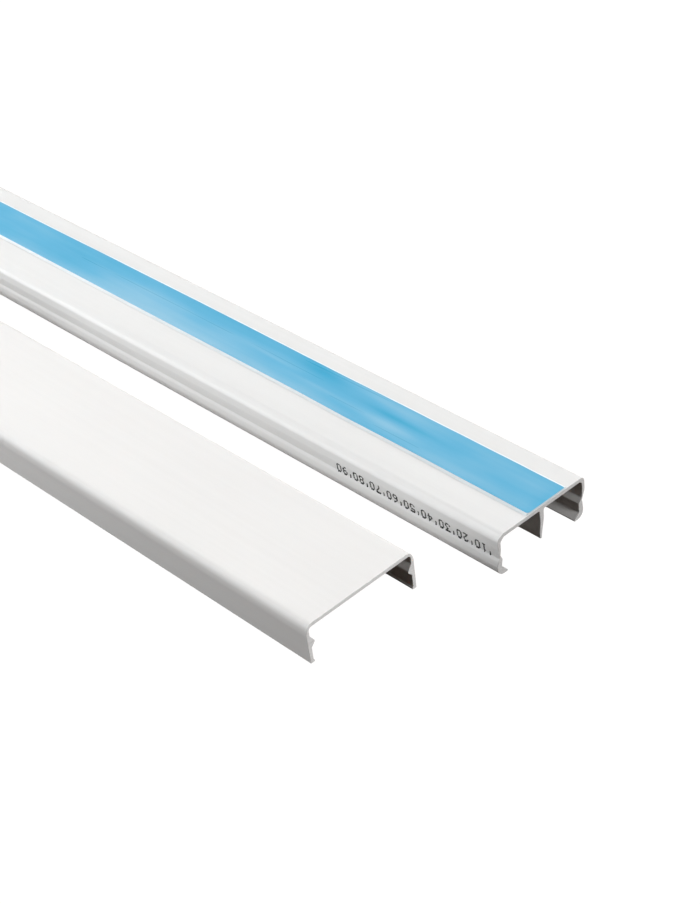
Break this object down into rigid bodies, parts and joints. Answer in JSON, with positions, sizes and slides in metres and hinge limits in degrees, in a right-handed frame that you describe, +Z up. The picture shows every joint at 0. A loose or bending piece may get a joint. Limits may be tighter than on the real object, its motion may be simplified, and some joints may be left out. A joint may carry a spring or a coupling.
{
  "type": "cord cover raceway",
  "caption": "Self-adhesive clip-on wall raceway in white plastic: divided base channel with a tape-backed flat side, and its cover laid beside it.",
  "frame": {"origin": "on the floor, in the middle of the space that the base and the cover take up side by side", "axes": "+X along the stock towards the staggered cut ends, +Y across it from the cover to the base, +Z up out of the taped back of the base"},
  "size_m": [0.7828, 0.1342, 0.0202],
  "materials": {
    "white_base": "satin extruded white",
    "foam_tape": "matt white foam",
    "liner_film": "smooth sky-blue film",
    "white_cover": "satin extruded white"
  },
  "bodies": {
    "root": {"base_channel": "white_base", "adhesive_tape": "foam_tape", "release_liner": "liner_film", "cover": "white_cover"}
  },
  "joints": []
}
